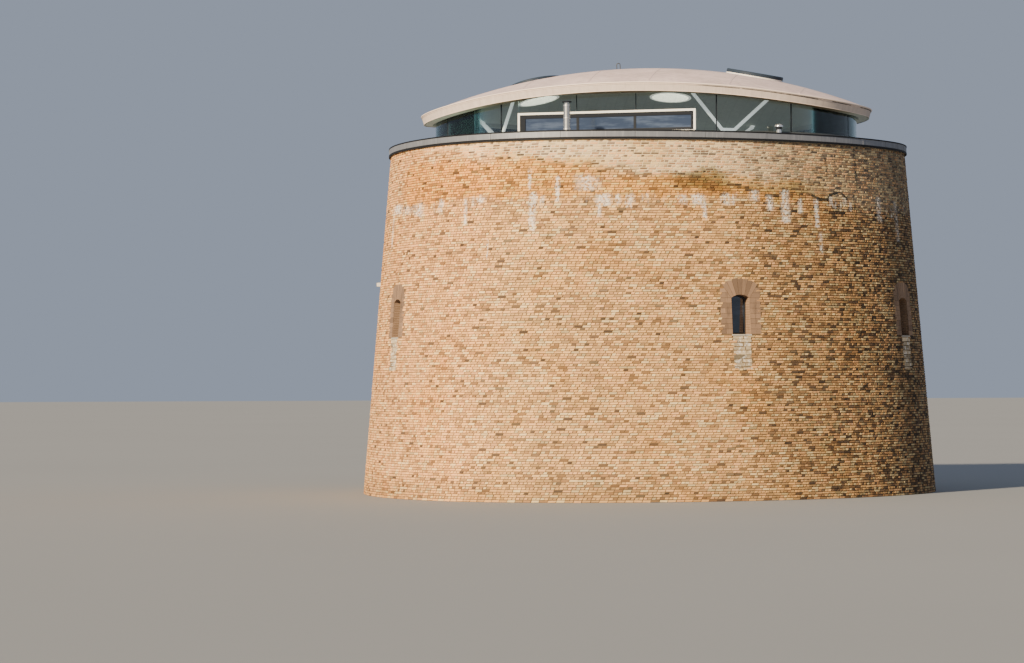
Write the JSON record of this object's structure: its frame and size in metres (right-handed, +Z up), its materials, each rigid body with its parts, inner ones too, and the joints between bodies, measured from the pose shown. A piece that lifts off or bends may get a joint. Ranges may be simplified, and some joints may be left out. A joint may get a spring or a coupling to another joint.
{
  "type": "martello tower",
  "caption": "Low battered brick gun tower of rounded three-sided plan, with a shallow lobed dome on V columns over a glazed room set above its parapet.",
  "frame": {"origin": "on the ground under the middle of the round rooms, on the underside of the ground floor", "axes": "+Z up, -Y towards the front that the picture shows, +X to the right seen from the front"},
  "size_m": [16.9498, 16.9499, 12.6426],
  "materials": {
    "brickwork": "weathered buff brick in lime mortar",
    "platform": "brick vault with a paved top",
    "ground_paving": "worn paving",
    "boards": "oiled boards",
    "capping": "dull grey sheet capping on masonry",
    "curb": "dark powder coat",
    "glass": "clear toughened sheet",
    "beam": "dark satin paint",
    "cheek": "clear toughened sheet beside the screen",
    "white_frame": "white powder coat",
    "dark_sash": "dark grey powder coat",
    "soffit": "olive brown satin sheet",
    "columns": "white paint on steel tube",
    "membrane": "pale pinkish cream roofing membrane",
    "kerb": "pale grey coat",
    "lid": "dark navy glazed lid",
    "flue": "bright twin wall flue",
    "flue_cap": "dark weathered cap",
    "white_vent": "white vent pipe",
    "anchor": "steel safety eye",
    "lamp": "pale bulkhead light",
    "window_frame": "dark painted wood",
    "window_glass": "dark blue reflecting pane",
    "door": "dark painted planks"
  },
  "bodies": {
    "root": {"cheek_panels": "cheek", "coping": "capping", "entrance_door": "door", "entrance_frame": "door", "flue_cap": "flue_cap", "flue_pipe": "flue", "glass_back": "glass", "glass_curb": "curb", "glass_left": "glass", "glass_right": "glass", "ground_floor": "ground_paving", "gun_platform": "platform", "parapet_back": "brickwork", "parapet_back_left": "brickwork", "parapet_back_right": "brickwork", "parapet_front": "brickwork", "parapet_front_left": "brickwork", "parapet_front_right": "brickwork", "ring_beam": "beam", "roof_anchor": "anchor", "roof_shell_1": "membrane", "roof_shell_2": "membrane", "roof_shell_3": "membrane", "roof_shell_4": "membrane", "roof_shell_5": "membrane", "roof_shell_6": "membrane", "rooflight_kerbs": "kerb", "rooflight_lids": "lid", "screen_frame": "white_frame", "screen_panes": "glass", "screen_sashes": "dark_sash", "soffit_panels": "soffit", "transom_glass": "glass", "upper_floor": "boards", "v_column_1": "columns", "v_column_2": "columns", "v_column_3": "columns", "v_column_4": "columns", "v_column_5": "columns", "vent_cowl": "white_vent", "wall_back_left": "brickwork", "wall_back_left_window": "brickwork", "wall_back_right": "brickwork", "wall_back_right_window": "brickwork", "wall_entrance": "brickwork", "wall_front": "brickwork", "wall_front_left": "brickwork", "wall_front_right": "brickwork", "wall_front_window": "brickwork", "wall_lamp": "lamp", "wall_left": "brickwork", "wall_left_window": "brickwork", "wall_right": "brickwork", "wall_right_window": "brickwork", "window_frames": "window_frame", "window_panes": "window_glass"}
  },
  "joints": []
}
